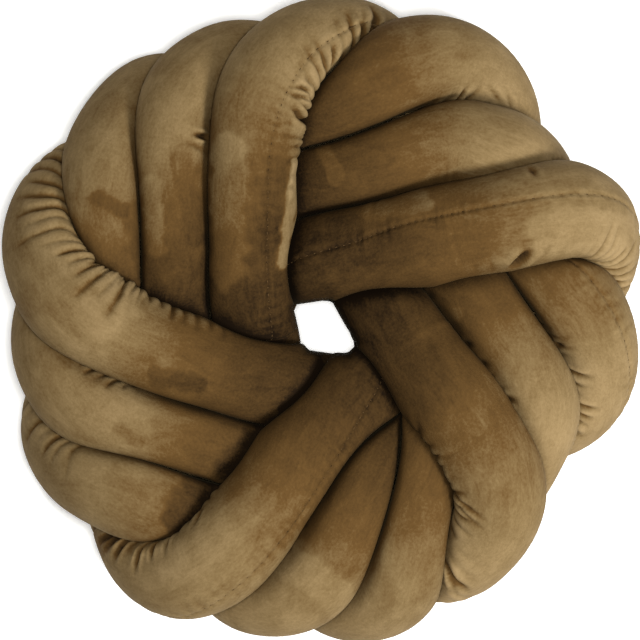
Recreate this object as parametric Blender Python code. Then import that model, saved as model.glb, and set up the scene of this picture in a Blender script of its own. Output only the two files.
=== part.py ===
"""A round knot cushion: one long velvet tube, filled, sewn shut and tied into a ring.

The knot is a flat ring with five bands of three strands on its face. Each strand starts at the rim, crosses
the face, dips under the next band beside the middle hole, and runs out again to the rim on the underside.
The tube's middle line is drawn from the table of strands below. The cloth is then pressed in wherever two
strands meet, so that the filled tube fits against itself.

The origin is on the surface that the cushion rests on, under the middle of the whole cushion. +Z is up, out
of its face.
"""

import math

import bmesh
import bpy
import numpy as np

MM = 0.001

# The tube
TUBE_RADIUS = 30.0 * MM
CORE_RADIUS = 1.0 * MM  # the thin tube that is filled out to the cloth
RING_SPACING = 13.2 * MM
CORNER_ROUNDING = 4  # gives the tube twelve sides
STRAND_GAP = 1.2 * MM
MOST_SWELL = 1.22  # how far a pressed tube bulges where it is free, times its radius
END_TAPER = 55 * MM
END_TIP = 0.55  # the sewn end's radius, times the tube's

# The knot
RING_MIDDLE = (-4.7 * MM, 0.9 * MM)  # the rim is uneven: this brings the whole cushion's middle to the origin
REST_DEPTH = 67 * MM  # from the ring's middle plane down to the surface it rests on
REST_ROUNDING = 3 * MM
CLOSEST = 0.66  # of the two tubes' radii together: where strands cross, they are squashed to this
LINE_SPACING = 5.0 * MM
OWN_STRETCH = 5.2 * TUBE_RADIUS  # along the tube, nearer than this is the same strand
OWN_BEND = 0.45 * TUBE_RADIUS  # and this near it is the same bend
NEIGHBOUR_REACH = 3.2 * TUBE_RADIUS  # a strand further off than this presses on nothing

# How the line is smoothed and the strands are eased apart
CHORD_POWER = 0.7  # of each step between two places: keeps the spline from swinging wide on short steps
SAMPLES_A_PLACE = 40
EASING_ROUNDS = 60
EASING_SHARES = (0.35, 0.35, 1.0)  # strands give way up and down more than sideways
EASING_BLUR = 4  # in steps of the line
LAST_BLUR = 3

# How the cloth is pressed
FLATTEST_AHEAD = 0.03  # a neighbour nearly square to the cloth's direction does not stop it
PRESS_SHARPNESS = 8  # how sharply the round cloth turns into the flat contact
FILLING_ROUNDS = 4

# How high each strand runs, in tube radii above the middle plane, and how its underside is laid out.
# Strand 1 is the one beside the hole. It wraps over the feet of the band before it, so it runs highest.
HEIGHT_COLUMNS = ("rim", "shoulder", "middle", "under_shoulder_share", "under_shoulder_reach",
                  "under_middle_share", "under_middle_reach")
HEIGHTS = {
    1: (0.25, 1.22, 1.30, 0.85, 166, 0.68, 102),
    2: (0.00, 0.75, 0.88, 0.80, 165, 0.54, 129),
    3: (-0.25, 0.62, 0.82, 0.77, 178, 0.48, 163),
}

# Where each strand of the face runs: a turn in degrees about +Z from +X, and a reach in millimetres from the
# ring's middle, at the rim, on the shoulder, halfway in, and at the foot where it dips under the next band.
# The fullness is the strand's thickness, times the tube's.
STRAND_COLUMNS = ("band", "strand", "fullness", "rim", "shoulder", "middle", "foot")
STRANDS = (
    ("right", 1, 1.09, (17, 199), (25, 164), (39, 89), (102, 42)),
    ("right", 2, 1.00, (36, 161), (50, 158), (68, 117), (105, 96)),
    ("right", 3, 1.03, (58, 203), (68, 193), (81, 159), (107, 143)),
    ("top", 1, 1.02, (84, 191), (101, 166), (118, 99), (179, 46)),
    ("top", 2, 0.98, (109, 185), (122, 174), (143, 125), (181, 100)),
    ("top", 3, 0.98, (134, 184), (145, 178), (159, 159), (181, 149)),
    ("left", 1, 1.02, (158, 195), (174, 174), (194, 106), (256, 54)),
    ("left", 2, 1.00, (186, 172), (198, 170), (217, 133), (254, 105)),
    ("left", 3, 1.02, (211, 186), (218, 181), (231, 168), (254, 157)),
    ("bottom", 1, 1.03, (238, 203), (249, 170), (261, 108), (317, 60)),
    ("bottom", 2, 0.98, (260, 192), (272, 170), (287, 120), (312, 97)),
    ("bottom", 3, 0.98, (284, 193), (292, 174), (303, 138), (343, 106)),
    ("low_right", 1, 1.02, (303, 191), (317, 176), (329, 112), (397, 43)),
    ("low_right", 2, 0.98, (325, 163), (338, 164), (353, 137), (396, 102)),
    ("low_right", 3, 1.00, (350, 194), (360, 187), (371, 171), (395, 155)),
)
NEXT_BAND_BELOW = {
    "top": "bottom", "bottom": "right", "right": "left", "left": "low_right", "low_right": "top",
}

# The tube starts between the layers under low_right, and ends there too, tucked in beside its start.
FIRST_BAND = "bottom"
START_PLACE = (322, 150, -0.10)
END_HEIGHT = 0.15

VELVET_COLOR = (0.152, 0.098, 0.044, 1.0)
VELVET_ROUGHNESS = 0.85


def place(turn, reach, height, fullness=1.0):
    """A point of the tube's middle line and the tube's radius there.

    It takes a turn in degrees, a reach in millimetres and a height in tube radii.
    """
    angle = math.radians(turn)
    return (RING_MIDDLE[0] + reach * MM * math.cos(angle), RING_MIDDLE[1] + reach * MM * math.sin(angle),
            height * TUBE_RADIUS, fullness * TUBE_RADIUS)


def strand_rows():
    return {row[:2]: dict(zip(STRAND_COLUMNS[2:], row[2:])) for row in STRANDS}


def height_rows():
    return {strand: dict(zip(HEIGHT_COLUMNS, row)) for strand, row in HEIGHTS.items()}


def route():
    """The places that the middle line goes through, from the tube's start to its end.

    A strand that runs on one side of its band runs on the other side of the next, so 1 and 3 take turns.
    """
    rows = strand_rows()
    heights = height_rows()

    def over(band, strand):
        row, high = rows[band, strand], heights[strand]
        return [place(*row[name], high[name], row["fullness"]) for name in ("rim", "shoulder", "middle")]

    def under(foot, band, strand):
        """From a foot out to the rim on the underside, towards the named strand of the next band."""
        low = heights[strand]
        turn, _ = rows[NEXT_BAND_BELOW[band], 4 - strand]["rim"]
        span = (turn - foot[0]) % 360
        return [
            place(foot[0] + low[f"under_{part}_share"] * span, low[f"under_{part}_reach"], -low[part])
            for part in ("middle", "shoulder")
        ]

    band, strand = FIRST_BAND, 3
    places = [place(*START_PLACE)] + under(START_PLACE, band, strand)
    legs = len(STRANDS)
    for leg in range(legs):
        band, strand = NEXT_BAND_BELOW[band], 4 - strand
        foot = rows[band, strand]["foot"]
        places += over(band, strand)
        if leg == legs - 1:
            places.append(place(*foot, END_HEIGHT))
            break
        places.append(place(*foot, 0))
        if (band, strand) == (FIRST_BAND, 3):
            strand = 2  # the outer strand has gone round twice: it moves in, and goes round once more
        places += under(foot, band, strand)
    return np.array(places)


def smooth_line(places, spacing):
    """A line through the places with no jump in its bend, cut into even steps."""
    steps = np.linalg.norm(np.diff(places[:, :3], axis=0), axis=1) ** CHORD_POWER
    knots = np.concatenate([[0], np.cumsum(steps)])
    count = len(places)
    matrix = np.eye(count)
    right = np.zeros_like(places)
    for i in range(1, count - 1):
        before, after = steps[i - 1], steps[i]
        matrix[i, i - 1:i + 2] = before, 2 * (before + after), after
        right[i] = 6 * ((places[i + 1] - places[i]) / after - (places[i] - places[i - 1]) / before)
    bends = np.linalg.solve(matrix, right)
    at = np.linspace(0, knots[-1], SAMPLES_A_PLACE * count)
    i = np.clip(np.searchsorted(knots, at, side="right") - 1, 0, count - 2)
    step = steps[i][:, None]
    b = (at - knots[i])[:, None] / step
    a = 1 - b
    fine = a * places[i] + b * places[i + 1]
    fine += ((a**3 - a) * bends[i] + (b**3 - b) * bends[i + 1]) * step**2 / 6
    return even_steps(fine, spacing)


def even_steps(line, spacing):
    along = np.concatenate([[0], np.cumsum(np.linalg.norm(np.diff(line[:, :3], axis=0), axis=1))])
    at = np.linspace(0, along[-1], int(round(along[-1] / spacing)) + 1)
    return np.stack([np.interp(at, along, column) for column in line.T], axis=1)


def blurred(values, reach):
    """The values averaged along the line, with a bell-shaped weight over the number of steps given."""
    offsets = np.arange(-2 * reach, 2 * reach + 1)
    weights = np.exp(-0.5 * (offsets / (0.7 * reach)) ** 2)
    padded = np.pad(values, ((2 * reach, 2 * reach), (0, 0)), mode="edge")
    return sum(w * padded[k:k + len(values)] for k, w in enumerate(weights)) / weights.sum()


def with_sewn_ends(line):
    """The line with the tube's radius drawn in to a small sewn end at both of its ends."""
    line = line.copy()
    at = np.arange(len(line)) * LINE_SPACING
    from_end = np.minimum(at, at[::-1]) / END_TAPER
    line[:, 3] *= np.where(from_end < 1, END_TIP + (1 - END_TIP) * np.sin(from_end * math.pi / 2), 1)
    return line


def eased_apart(line):
    """The line with its strands moved apart, mostly up and down, where they are too thick to be so close."""
    line = line.copy()
    index = np.arange(len(line))
    apart = np.abs(index[:, None] - index[None]) * LINE_SPACING > OWN_STRETCH
    room = CLOSEST * (line[:, None, 3] + line[None, :, 3])
    for _ in range(EASING_ROUNDS):
        away = line[:, None, :3] - line[None, :, :3]
        distance = np.linalg.norm(away, axis=2)
        short = np.where(apart, np.clip(room - distance, 0, None), 0)
        push = (away / np.maximum(distance, MM)[..., None] * short[..., None]).sum(axis=1)
        push /= np.maximum((short > 0).sum(axis=1), 1)[:, None]
        line[:, :3] += blurred(push * EASING_SHARES, EASING_BLUR)
    return even_steps(blurred(line, LAST_BLUR), LINE_SPACING)


def directions(line):
    along = np.gradient(line[:, :3], axis=0)
    return along / np.linalg.norm(along, axis=1)[:, None]


def free_reach(ring, outward, line, own_index):
    """How far the cloth can go outwards before it meets the cloth of another strand, or of its own bend.

    Two strands share the room between them at the plane where circles of their radii would cross.
    """
    away = line[:, :3] - ring[:3]
    distance = np.linalg.norm(away, axis=1)
    near = np.abs(np.arange(len(line)) - own_index) * LINE_SPACING > OWN_BEND
    near &= distance < NEIGHBOUR_REACH
    distance = distance[near][:, None]
    ahead = away[near] @ outward.T
    shares = distance**2 + ring[3] ** 2 - line[near, 3:] ** 2 - STRAND_GAP * distance
    stopped = ahead > FLATTEST_AHEAD * distance
    limit = np.where(stopped, shares / (2 * np.where(stopped, ahead, 1)), NEIGHBOUR_REACH)
    return np.maximum(limit.min(axis=0), 2 * CORE_RADIUS)


def rested(heights):
    """The heights with what would reach below the surface laid flat on it, through a small rounding."""
    rounding = REST_ROUNDING * ((1 + np.clip(heights / REST_ROUNDING, -1, 1)) / 2) ** 2
    return np.where(heights > REST_ROUNDING, heights, rounding)


def tube_core(line):
    """A thin tube along the line, closed at both ends, as a mesh."""
    curve = bpy.data.curves.new("tube_line", "CURVE")
    curve.dimensions = "3D"
    curve.bevel_depth = CORE_RADIUS
    curve.bevel_resolution = CORNER_ROUNDING
    curve.use_fill_caps = True
    spline = curve.splines.new("POLY")
    spline.points.add(len(line) - 1)
    for point, where in zip(spline.points, line):
        point.co = (*where[:3], 1)
    guide = bpy.data.objects.new("tube_line", curve)
    bpy.context.scene.collection.objects.link(guide)
    bpy.context.view_layer.update()
    mesh = bpy.data.meshes.new_from_object(guide.evaluated_get(bpy.context.evaluated_depsgraph_get()))
    bpy.data.objects.remove(guide)
    bm = bmesh.new()
    bm.from_mesh(mesh)
    bmesh.ops.remove_doubles(bm, verts=bm.verts, dist=0.01 * MM)
    bmesh.ops.triangulate(bm, faces=[face for face in bm.faces if len(face.verts) > 4])
    bmesh.ops.recalc_face_normals(bm, faces=bm.faces)
    bm.to_mesh(mesh)
    bm.free()
    return mesh


def fill_tube(mesh, rings, line):
    """Moves the core's points out to the cloth: round where the tube is free, flat where strands press.

    What the pressing takes from a ring's section swells its free side, as the filling has to go somewhere.
    """
    points = np.array([vertex.co for vertex in mesh.vertices])
    ring_of = np.array([np.argmin(((rings[:, :3] - point) ** 2).sum(axis=1)) for point in points])
    outward = points - rings[ring_of, :3]
    along = directions(rings)[ring_of]
    outward -= (outward * along).sum(axis=1)[:, None] * along
    outward /= np.linalg.norm(outward, axis=1)[:, None]

    limit = np.empty(len(points))
    for ring in range(len(rings)):
        mine = ring_of == ring
        limit[mine] = free_reach(rings[ring], outward[mine], line, ring * RING_SPACING / LINE_SPACING)
    rest = rings[:, 3]
    full = rest.copy()
    for _ in range(FILLING_ROUNDS):
        reach = (full[ring_of] ** -PRESS_SHARPNESS + limit ** -PRESS_SHARPNESS) ** (-1 / PRESS_SHARPNESS)
        filled = np.bincount(ring_of, reach**2) / np.bincount(ring_of)
        full = np.clip(full * rest / np.sqrt(filled), rest, MOST_SWELL * rest)
        full = blurred(full[:, None], 1)[:, 0]
    moved = rings[ring_of, :3] + outward * np.minimum(reach, limit)[:, None]
    moved[:, 2] = rested(moved[:, 2] + REST_DEPTH)
    for vertex, where in zip(mesh.vertices, moved):
        vertex.co = where


def velvet():
    material = bpy.data.materials.new("olive_brown_velvet")
    material.use_nodes = True
    shader = material.node_tree.nodes["Principled BSDF"]
    shader.inputs["Base Color"].default_value = VELVET_COLOR
    shader.inputs["Roughness"].default_value = VELVET_ROUGHNESS
    shader.inputs["Metallic"].default_value = 0.0
    return material


def make_cushion():
    for obj in list(bpy.data.objects):
        bpy.data.objects.remove(obj)
    line = eased_apart(with_sewn_ends(smooth_line(route(), LINE_SPACING)))
    rings = even_steps(line, RING_SPACING)
    mesh = tube_core(rings)
    fill_tube(mesh, rings, line)
    mesh.materials.clear()
    mesh.materials.append(velvet())
    mesh.shade_smooth()
    tube = bpy.data.objects.new("knot_tube", mesh)
    collection = bpy.data.collections.new("knot_cushion")
    bpy.context.scene.collection.children.link(collection)
    collection.objects.link(tube)


make_cushion()
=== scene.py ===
# %% [markdown]
# # A knot cushion
#
# The real thing is one long strip of velvet. A maker sews its long edges together into a tube, turns it,
# stuffs it, sews both ends shut and ties it round and round into a flat ring. The lesson goes the same way:
# the line of the tube, its cloth, the seam and its stitches, and last the velvet itself.
#
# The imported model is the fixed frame, with the size and the place of the cushion.

# %% The frame and its box
import math

import bmesh
import bpy
import numpy as np
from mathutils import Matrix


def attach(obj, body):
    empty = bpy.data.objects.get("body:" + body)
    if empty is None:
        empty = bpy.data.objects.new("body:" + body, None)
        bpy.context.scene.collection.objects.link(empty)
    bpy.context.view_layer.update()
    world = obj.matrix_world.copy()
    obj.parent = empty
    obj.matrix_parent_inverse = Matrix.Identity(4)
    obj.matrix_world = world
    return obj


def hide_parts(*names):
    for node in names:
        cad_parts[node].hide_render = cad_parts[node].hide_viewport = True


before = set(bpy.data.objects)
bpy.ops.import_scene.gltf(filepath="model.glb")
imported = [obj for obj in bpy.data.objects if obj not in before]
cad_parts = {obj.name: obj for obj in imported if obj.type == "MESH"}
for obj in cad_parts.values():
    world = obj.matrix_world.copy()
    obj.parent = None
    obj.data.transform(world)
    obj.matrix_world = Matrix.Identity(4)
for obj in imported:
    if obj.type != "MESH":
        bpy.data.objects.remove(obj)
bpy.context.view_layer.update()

MM = 0.001

# %% [markdown]
# ## Where the tube goes
#
# On the face there are five bands of three strands each. A strand starts at the rim, crosses the face, dips
# under the next band beside the middle hole, and runs out to the rim again on the underside. A formula would
# make it a perfect rosette, but this cushion was tied by hand. So each strand has a row of its own: a turn in
# degrees about +Z and a reach in millimetres, at four places that are easy to see.

# %% The sizes of the tube and the table of strands
TUBE_RADIUS = 30.0 * MM
RING_MIDDLE = (-4.7 * MM, 0.9 * MM)
REST_DEPTH = 67 * MM  # from the ring's middle plane down to the surface it rests on

FACE_PLACES = ("rim", "shoulder", "middle")
HEIGHT_COLUMNS = (*FACE_PLACES, "under_shoulder_share", "under_shoulder_reach", "under_middle_share",
                  "under_middle_reach")
HEIGHTS = {  # in tube radii above the middle plane, for strands 1 to 3. Strand 1 lies beside the hole
    1: (0.25, 1.22, 1.30, 0.85, 166, 0.68, 102),
    2: (0.00, 0.75, 0.88, 0.80, 165, 0.54, 129),
    3: (-0.25, 0.62, 0.82, 0.77, 178, 0.48, 163),
}
STRAND_COLUMNS = ("band", "strand", "fullness", *FACE_PLACES, "foot")
STRANDS = (
    ("right", 1, 1.09, (17, 199), (25, 164), (39, 89), (102, 42)),
    ("right", 2, 1.00, (36, 161), (50, 158), (68, 117), (105, 96)),
    ("right", 3, 1.03, (58, 203), (68, 193), (81, 159), (107, 143)),
    ("top", 1, 1.02, (84, 191), (101, 166), (118, 99), (179, 46)),
    ("top", 2, 0.98, (109, 185), (122, 174), (143, 125), (181, 100)),
    ("top", 3, 0.98, (134, 184), (145, 178), (159, 159), (181, 149)),
    ("left", 1, 1.02, (158, 195), (174, 174), (194, 106), (256, 54)),
    ("left", 2, 1.00, (186, 172), (198, 170), (217, 133), (254, 105)),
    ("left", 3, 1.02, (211, 186), (218, 181), (231, 168), (254, 157)),
    ("bottom", 1, 1.03, (238, 203), (249, 170), (261, 108), (317, 60)),
    ("bottom", 2, 0.98, (260, 192), (272, 170), (287, 120), (312, 97)),
    ("bottom", 3, 0.98, (284, 193), (292, 174), (303, 138), (343, 106)),
    ("low_right", 1, 1.02, (303, 191), (317, 176), (329, 112), (397, 43)),
    ("low_right", 2, 0.98, (325, 163), (338, 164), (353, 137), (396, 102)),
    ("low_right", 3, 1.00, (350, 194), (360, 187), (371, 171), (395, 155)),
)
NEXT_BAND_BELOW = {
    "top": "bottom", "bottom": "right", "right": "left", "left": "low_right", "low_right": "top",
}
FIRST_BAND = "bottom"
START_PLACE = (322, 150, -0.10)  # the last number is a height in tube radii
END_HEIGHT = 0.15

rows = {row[:2]: dict(zip(STRAND_COLUMNS[2:], row[2:])) for row in STRANDS}
heights = {strand: dict(zip(HEIGHT_COLUMNS, row)) for strand, row in HEIGHTS.items()}
print(len(rows), "strands on the face")

# %% [markdown]
# ## One open line
#
# The strands are one tube, so the table has to be read in the order in which the tube meets them. It changes
# sides in each band: strand 3 of one band goes on as strand 1 of another. After ten legs it moves in by one
# place and goes round once more as strand 2. Its two ends are tucked between the layers.

# %% The places that the tube goes through
def place(turn, reach, height, fullness=1.0):
    """A point of the tube's middle line, and the tube's radius there."""
    angle = math.radians(turn)
    x, y = reach * MM * math.cos(angle), reach * MM * math.sin(angle)
    return RING_MIDDLE[0] + x, RING_MIDDLE[1] + y, height * TUBE_RADIUS, fullness * TUBE_RADIUS


def over(band, strand):
    """The places of a strand on the face."""
    row, high = rows[band, strand], heights[strand]
    return [place(*row[name], high[name], row["fullness"]) for name in FACE_PLACES]


def under(foot, band, strand):
    """From a foot out to the rim on the underside, towards the named strand of the next band."""
    low = heights[strand]
    turn, _ = rows[NEXT_BAND_BELOW[band], 4 - strand]["rim"]
    span = (turn - foot[0]) % 360
    return [
        place(foot[0] + low[f"under_{part}_share"] * span, low[f"under_{part}_reach"], -low[part])
        for part in ("middle", "shoulder")
    ]


def route():
    band, strand = FIRST_BAND, 3
    places = [place(*START_PLACE)] + under(START_PLACE, band, strand)
    order = []
    for leg in range(len(STRANDS)):
        band, strand = NEXT_BAND_BELOW[band], 4 - strand
        foot = rows[band, strand]["foot"]
        order.append((band, strand))
        places += over(band, strand)
        if leg == len(STRANDS) - 1:
            places.append(place(*foot, END_HEIGHT))
            break
        places.append(place(*foot, 0))
        if (band, strand) == (FIRST_BAND, 3):
            strand = 2
        places += under(foot, band, strand)
    return np.array(places), order


places, leg_order = route()
print(len(places), "places, first legs:", leg_order[:4])

# %% [markdown]
# ## A smooth line with room for the filling
#
# A natural spline joins the places, as a bent batten would. A stuffed tube can only be squashed so far where
# it crosses itself, so the strands are then eased apart, mostly up and down. That gives the knot its real
# thickness. Each push is spread along the tube, which keeps the line smooth.

# %% The spline and the easing
LINE_SPACING = 5.0 * MM
CLOSEST = 0.66  # of the sum of two strands' radii
OWN_STRETCH = 5.2 * TUBE_RADIUS
CHORD_POWER = 0.7
SAMPLES_A_PLACE = 40
EASING_ROUNDS = 60
EASING_SHARES = (0.35, 0.35, 1.0)
EASING_BLUR = 4
LAST_BLUR = 3
BELL_SHARE = 0.7  # of a blur's reach
END_TAPER = 55 * MM
END_TIP = 0.55


def running_total(steps):
    return np.concatenate([[0], np.cumsum(steps)])


def distances(line):
    return running_total(np.linalg.norm(np.diff(line[:, :3], axis=0), axis=1))


def sampled(line, along, at):
    return np.stack([np.interp(at, along, column) for column in line.T], axis=1)


def even_steps(line, spacing):
    along = distances(line)
    return sampled(line, along, np.linspace(0, along[-1], int(round(along[-1] / spacing)) + 1))


def smooth_line(places, spacing, samples_a_place):
    steps = np.linalg.norm(np.diff(places[:, :3], axis=0), axis=1) ** CHORD_POWER
    knots = running_total(steps)
    count = len(places)
    matrix = np.eye(count)
    right = np.zeros_like(places)
    for i in range(1, count - 1):
        before, after = steps[i - 1], steps[i]
        matrix[i, i - 1:i + 2] = before, 2 * (before + after), after
        right[i] = 6 * ((places[i + 1] - places[i]) / after - (places[i] - places[i - 1]) / before)
    bends = np.linalg.solve(matrix, right)
    at = np.linspace(0, knots[-1], samples_a_place * count)
    i = np.clip(np.searchsorted(knots, at, side="right") - 1, 0, count - 2)
    step = steps[i][:, None]
    b = (at - knots[i])[:, None] / step
    a = 1 - b
    fine = a * places[i] + b * places[i + 1]
    fine += ((a**3 - a) * bends[i] + (b**3 - b) * bends[i + 1]) * step**2 / 6
    return even_steps(fine, spacing)


def blurred(values, reach):
    """The values averaged along the line, with a bell-shaped weight over the number of steps given."""
    offsets = np.arange(-2 * reach, 2 * reach + 1)
    weights = np.exp(-0.5 * (offsets / (BELL_SHARE * reach)) ** 2)
    padded = np.pad(values, ((2 * reach, 2 * reach), (0, 0)), mode="edge")
    return sum(w * padded[k:k + len(values)] for k, w in enumerate(weights)) / weights.sum()


def with_sewn_ends(line):
    line = line.copy()
    at = np.arange(len(line)) * LINE_SPACING
    from_end = np.minimum(at, at[::-1]) / END_TAPER
    line[:, 3] *= np.where(from_end < 1, END_TIP + (1 - END_TIP) * np.sin(from_end * math.pi / 2), 1)
    return line


def eased_apart(line):
    line = line.copy()
    index = np.arange(len(line))
    apart = np.abs(index[:, None] - index[None]) * LINE_SPACING > OWN_STRETCH
    room = CLOSEST * (line[:, None, 3] + line[None, :, 3])
    for _ in range(EASING_ROUNDS):
        away = line[:, None, :3] - line[None, :, :3]
        distance = np.linalg.norm(away, axis=2)
        short = np.where(apart, np.clip(room - distance, 0, None), 0)
        push = (away / np.maximum(distance, MM)[..., None] * short[..., None]).sum(axis=1)
        push /= np.maximum((short > 0).sum(axis=1), 1)[:, None]
        line[:, :3] += blurred(push * EASING_SHARES, EASING_BLUR)
    return even_steps(blurred(line, LAST_BLUR), LINE_SPACING)


line = eased_apart(with_sewn_ends(smooth_line(places, LINE_SPACING, SAMPLES_A_PLACE)))
tube_length = distances(line)[-1]
print(f"the tube is {tube_length:.2f} m long")

# %% [markdown]
# ## Rings along the line
#
# The cloth is described by rings square to the line. They stand close together on the face, where the small
# folds show, and further apart below. The direction from which a ring is counted is carried along without
# spinning, which keeps the strip from twisting by itself.

# %% Ring centres, directions and bends
FINE_STEP = 0.5 * MM
FINE_SAMPLES = 12  # for each step of the line
FACE_SPACING = 1.15 * MM
FOOT_SPACING = 1.7 * MM
BELOW_SPACING = 2.2 * MM
BEND_BLUR = 24  # fine steps


def unit(vectors):
    return vectors / np.linalg.norm(vectors, axis=1, keepdims=True)


def nearest(points, name, band, strand):
    """Which of the points lies nearest to a named place of a strand."""
    wanted = place(*rows[band, strand][name], heights[strand].get(name, 0))[:3]
    return int(np.argmin(((points[:, :3] - wanted) ** 2).sum(axis=1)))


fine = smooth_line(line, FINE_STEP, FINE_SAMPLES)
fine_along = distances(fine)
fine_directions = unit(np.gradient(fine[:, :3], axis=0))
fine_bends = blurred(np.gradient(fine_directions, fine_along, axis=0), BEND_BLUR)

named_spacings = {**dict.fromkeys(FACE_PLACES, FACE_SPACING), "foot": FOOT_SPACING}
keys = [(fine_along[nearest(fine, name, *leg)], spacing)
        for leg in leg_order for name, spacing in named_spacings.items()]
spacing_at, spacings = np.array([(0, BELOW_SPACING), *keys, (fine_along[-1], BELOW_SPACING)]).T
after_foot = spacings[:-1] == FOOT_SPACING
halfway = ((spacing_at[1:] + spacing_at[:-1]) / 2)[after_foot]
spacing_at = np.concatenate([spacing_at, halfway])
spacings = np.concatenate([spacings, np.full(len(halfway), BELOW_SPACING)])
order = np.argsort(spacing_at)
crowd = 1 / np.interp(fine_along, spacing_at[order], spacings[order])
crowd = blurred(crowd[:, None], BEND_BLUR)[:, 0]
ring_numbers = running_total(crowd[1:] * np.diff(fine_along))
ring_count = int(ring_numbers[-1]) + 1
ring_at = np.interp(np.linspace(0, ring_numbers[-1], ring_count), ring_numbers, fine_along)
print(ring_count, "rings")

# %% The rings themselves
rings = sampled(fine, fine_along, ring_at)
forward = unit(sampled(fine_directions, fine_along, ring_at))
bends = sampled(fine_bends, fine_along, ring_at)

carried = np.empty_like(forward)
side = np.cross(forward[0], (0, 0, 1))
for i, direction in enumerate(forward):
    side = side - direction * (side @ direction)
    side /= np.linalg.norm(side)
    carried[i] = side
carried_up = np.cross(forward, carried)
print("sharpest bend radius in mm:", round(1 / np.linalg.norm(bends, axis=1).max() / MM, 1))

# %% [markdown]
# ## Where the seam runs
#
# The strip's two long edges meet in one seam. It comes up on four strands and stays out of sight on the
# others, so the tube has some twist in it. Where it shows, its places are given as a turn and a reach, like
# the strands themselves. Between them it is turned down, and the twist is spread out evenly.

# %% Where the seam shows
SEAM_SHOWS = {
    ("top", 1): ((79, 212), (85, 198), (90, 189), (95, 170), (99, 152), (103, 131), (115, 78), (135, 51),
                 (160, 37)),
    ("right", 1): ((21, 225), (27, 184), (31, 152), (35, 131), (47, 88), (70, 52), (100, 44)),
    ("bottom", 1): ((252, 201), (257, 177), (262, 152), (265, 141)),
    ("low_right", 3): ((353, 219), (360, 210), (373, 182)),
}
print("the seam shows on", len(SEAM_SHOWS), "strands")

# %% What is seen from above
BEFORE_RIM = 60 * MM  # the face of a strand starts this far before its rim place
SEEN_WITHIN = 1.8 * MM
SEEN_SLACK = 0.3 * MM
ROUND_POINTS = 72


def face_rings(band, strand):
    """The first and last ring of a strand's face."""
    rim = ring_at[nearest(rings, "rim", band, strand)]
    return int(np.searchsorted(ring_at, rim - BEFORE_RIM)), nearest(rings, "foot", band, strand)


def seen_from_above(surface, surface_turns, band, strand, x, y):
    """The ring and the turn of the strand's point that is seen from above at x and y."""
    first, last = face_rings(band, strand)
    part = surface[first:last]
    gap = np.hypot(part[..., 0] - x, part[..., 1] - y)
    near = max(SEEN_WITHIN, gap.min() + SEEN_SLACK)
    i, j = np.unravel_index(np.argmax(np.where(gap <= near, part[..., 2], -1)), gap.shape)
    return first + i, surface_turns[first + i, j]


def outward_at(turns):
    """Unit vectors out of each ring, at the turns round it."""
    return np.cos(turns)[..., None] * carried[:, None] + np.sin(turns)[..., None] * carried_up[:, None]


round_turns = np.tile(np.arange(ROUND_POINTS) * math.tau / ROUND_POINTS, (ring_count, 1))
round_tube = rings[:, None, :3] + rings[:, 3, None, None] * outward_at(round_turns)
print("a round tube of", round_turns.size, "points to look at")

# %% The turn of the seam along the tube
SEAM_BLUR = 14


def seam_keys():
    """Pairs of a ring and the turn at which the seam lies there."""
    keys = []
    for band, strand in leg_order:
        shows = SEAM_SHOWS.get((band, strand), ())
        for turn, reach in shows:
            keys.append(seen_from_above(round_tube, round_turns, band, strand, *place(turn, reach, 0)[:2]))
        if not shows:
            for name in ("shoulder", "middle"):
                i = nearest(rings, name, band, strand)
                keys.append((i, math.atan2(-carried_up[i, 2], -carried[i, 2])))
    return sorted(keys)


def seam_turns():
    at, turns = [], []
    for i, turn in seam_keys():
        if turns:
            turn += math.tau * round((turns[-1] - turn) / math.tau)
        at.append(ring_at[i])
        turns.append(turn)
    return blurred(np.interp(ring_at, at, turns)[:, None], SEAM_BLUR)[:, 0]


seam_turn = seam_turns()
print("the strip turns by", round(math.degrees(seam_turn.max() - seam_turn.min())), "degrees along the tube")

# %% [markdown]
# ## The filled tube, pressed into its knot
#
# Each point of the cloth is sent outwards from its ring's middle until it meets the cloth of another strand.
# Two strands share the room between them at the plane where circles of their radii would cross, so they end
# up flat against each other, as stuffed tubes do. The filling that is pressed away there swells the free side
# a little. This is plain arithmetic on arrays: it takes seconds, and a simulation of the whole knot takes
# hours.

# %% Points round a ring, closer together at the seam
SEAM_POINT_GAP = 0.9 * MM
SEAM_POINTS = 5  # on each side of the seam
CLOTH_POINTS = 84

# Places across the strip's width, from 0 at one edge to 1 at the other
beside_seam = np.arange(SEAM_POINTS + 1) * SEAM_POINT_GAP / (math.tau * TUBE_RADIUS)
plain = np.linspace(beside_seam[-1], 1 - beside_seam[-1], CLOTH_POINTS + 1)[1:-1]
across = np.concatenate([beside_seam, plain, 1 - beside_seam[::-1]])
turns = seam_turn[:, None] + across[None] * math.tau
outward = outward_at(turns)
print("the cloth has", outward.shape[0], "x", outward.shape[1], "points")

# %% How far each point can go
STRAND_GAP = 0.5 * MM
OWN_BEND = 0.45 * TUBE_RADIUS
NEIGHBOUR_REACH = 3.2 * TUBE_RADIUS
FLATTEST_AHEAD = 0.03
SMALLEST_REACH = 2 * MM
PRESS_SHARPNESS = 9
FILLING_ROUNDS = 4
MOST_SWELL = 1.22
FILL_BLUR = 6

line_at = distances(line)


def free_reach(i):
    away = line[:, :3] - rings[i, :3]
    distance = np.linalg.norm(away, axis=1)
    near = (np.abs(line_at - ring_at[i]) > OWN_BEND) & (distance < NEIGHBOUR_REACH)
    distance = distance[near][:, None]
    ahead = away[near] @ outward[i].T
    shares = distance**2 + rings[i, 3] ** 2 - line[near, 3:] ** 2 - STRAND_GAP * distance
    stopped = ahead > FLATTEST_AHEAD * distance
    limit = np.where(stopped, shares / (2 * np.where(stopped, ahead, 1)), NEIGHBOUR_REACH)
    return np.maximum(limit.min(axis=0), SMALLEST_REACH)


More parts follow.
